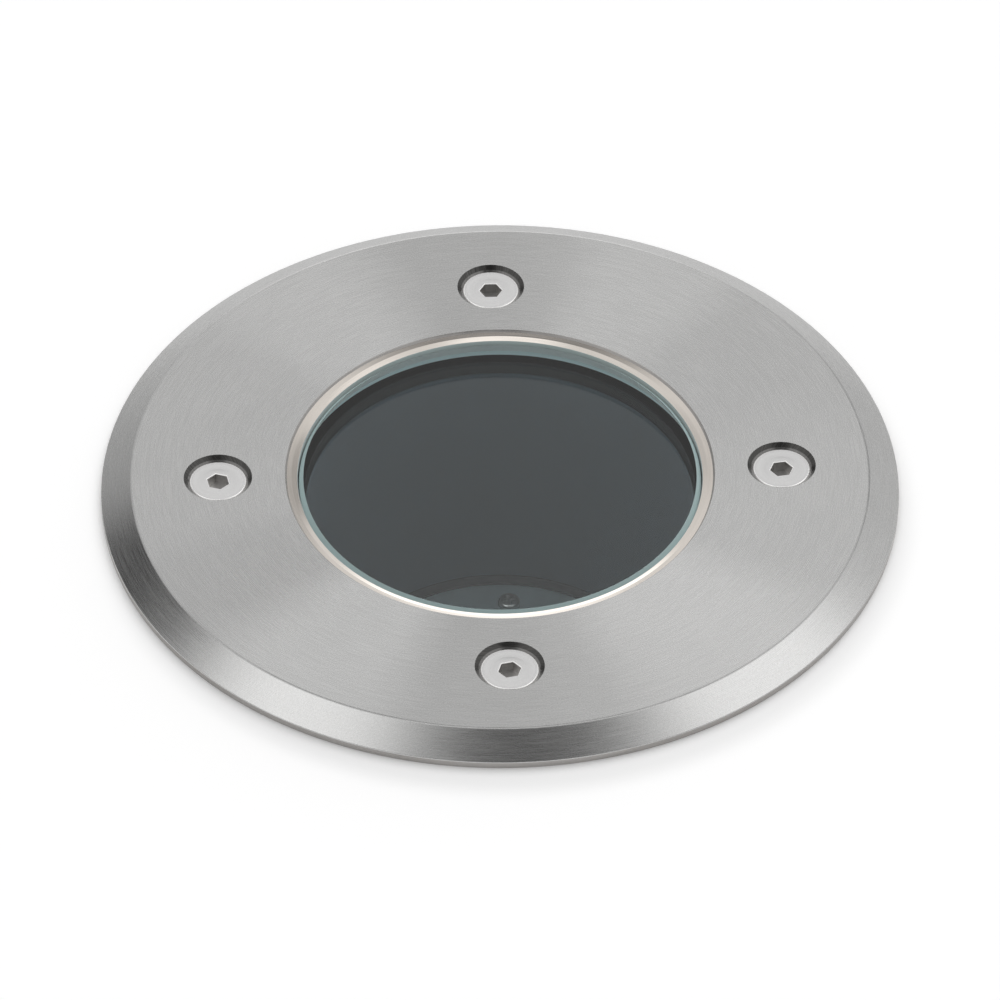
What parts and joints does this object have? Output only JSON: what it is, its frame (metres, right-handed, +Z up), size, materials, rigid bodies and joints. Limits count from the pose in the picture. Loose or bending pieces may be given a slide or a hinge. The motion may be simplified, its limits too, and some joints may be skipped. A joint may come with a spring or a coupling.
{
  "type": "in ground well light",
  "caption": "Round recessed ground light: flush clear window in a brushed steel trim ring, finned housing with lamp, driver and cable gland, and a buried mounting sleeve.",
  "frame": {"origin": "on the light's axis at ground level, which is the underside of the trim ring and the sleeve's rim", "axes": "+Z points up out of the ground along the light's axis; +X and +Y each pass through a trim screw, and the cable arches of the sleeve open along X"},
  "size_m": [0.16, 0.16, 0.155],
  "materials": {
    "brushed_trim_steel": "circular brushed, with polished lip",
    "screw_steel": "fine turned",
    "small_screw_steel": "bright",
    "strap_steel": "zinc plated",
    "window_glass": "clear, ground edge",
    "clear_lens": "clear moulded",
    "gasket_rubber": "matte",
    "sleeve_plastic": "moulded, fine texture",
    "cast_housing": "powder coated die casting",
    "dark_cone": "fine matte coat",
    "plate_metal": "satin",
    "brass": "turned",
    "thermal_pad": "matte",
    "board_white": "solder mask",
    "chip_phosphor": "smooth",
    "black_plastic": "moulded",
    "driver_plastic": "moulded",
    "lead_red": "smooth",
    "lead_blue": "smooth"
  },
  "bodies": {
    "sleeve": {"mounting_sleeve": "sleeve_plastic"},
    "unit": {"housing": "cast_housing", "threaded_inserts": "brass", "screw_seals": "gasket_rubber", "lower_glass_gasket": "gasket_rubber", "antiglare_cone": "dark_cone", "mounting_plate": "plate_metal", "plate_pillars": "strap_steel", "plate_screws": "small_screw_steel", "thermal_pad": "thermal_pad", "led_board": "board_white", "led_chip": "chip_phosphor", "lens_holder": "black_plastic", "beam_lens": "clear_lens", "holder_screws": "small_screw_steel", "driver_case": "driver_plastic", "driver_bracket": "strap_steel", "bracket_screws": "small_screw_steel", "terminal_block": "driver_plastic", "terminal_screws": "brass", "block_screws": "small_screw_steel", "earth_terminal": "brass", "lamp_leads": "lead_red", "driver_leads": "lead_blue", "lead_grommet": "gasket_rubber", "gland_body": "black_plastic", "gland_o_ring": "gasket_rubber", "gland_seal": "gasket_rubber", "gland_nut": "black_plastic", "gland_locknut": "brass"},
    "cover": {"trim_ring": "brushed_trim_steel", "window_glass": "window_glass", "upper_glass_gasket": "gasket_rubber"},
    "right_screw": {"trim_screw_right": "screw_steel"},
    "back_screw": {"trim_screw_back": "screw_steel"},
    "left_screw": {"trim_screw_left": "screw_steel"},
    "front_screw": {"trim_screw_front": "screw_steel"}
  },
  "joints": [
    {"name": "unit_lift", "type": "slide", "parent": "sleeve", "child": "unit", "axis": [0, 0, 1], "range_m": [0, 0.13]},
    {"name": "cover_lift", "type": "slide", "parent": "unit", "child": "cover", "axis": [0, 0, 1], "range_m": [0, 0.045]},
    {"name": "right_screw_out", "type": "slide", "parent": "cover", "child": "right_screw", "axis": [0, 0, 1], "range_m": [0, 0.025]},
    {"name": "back_screw_out", "type": "slide", "parent": "cover", "child": "back_screw", "axis": [0, 0, 1], "range_m": [0, 0.025]},
    {"name": "left_screw_out", "type": "slide", "parent": "cover", "child": "left_screw", "axis": [0, 0, 1], "range_m": [0, 0.025]},
    {"name": "front_screw_out", "type": "slide", "parent": "cover", "child": "front_screw", "axis": [0, 0, 1], "range_m": [0, 0.025]}
  ]
}
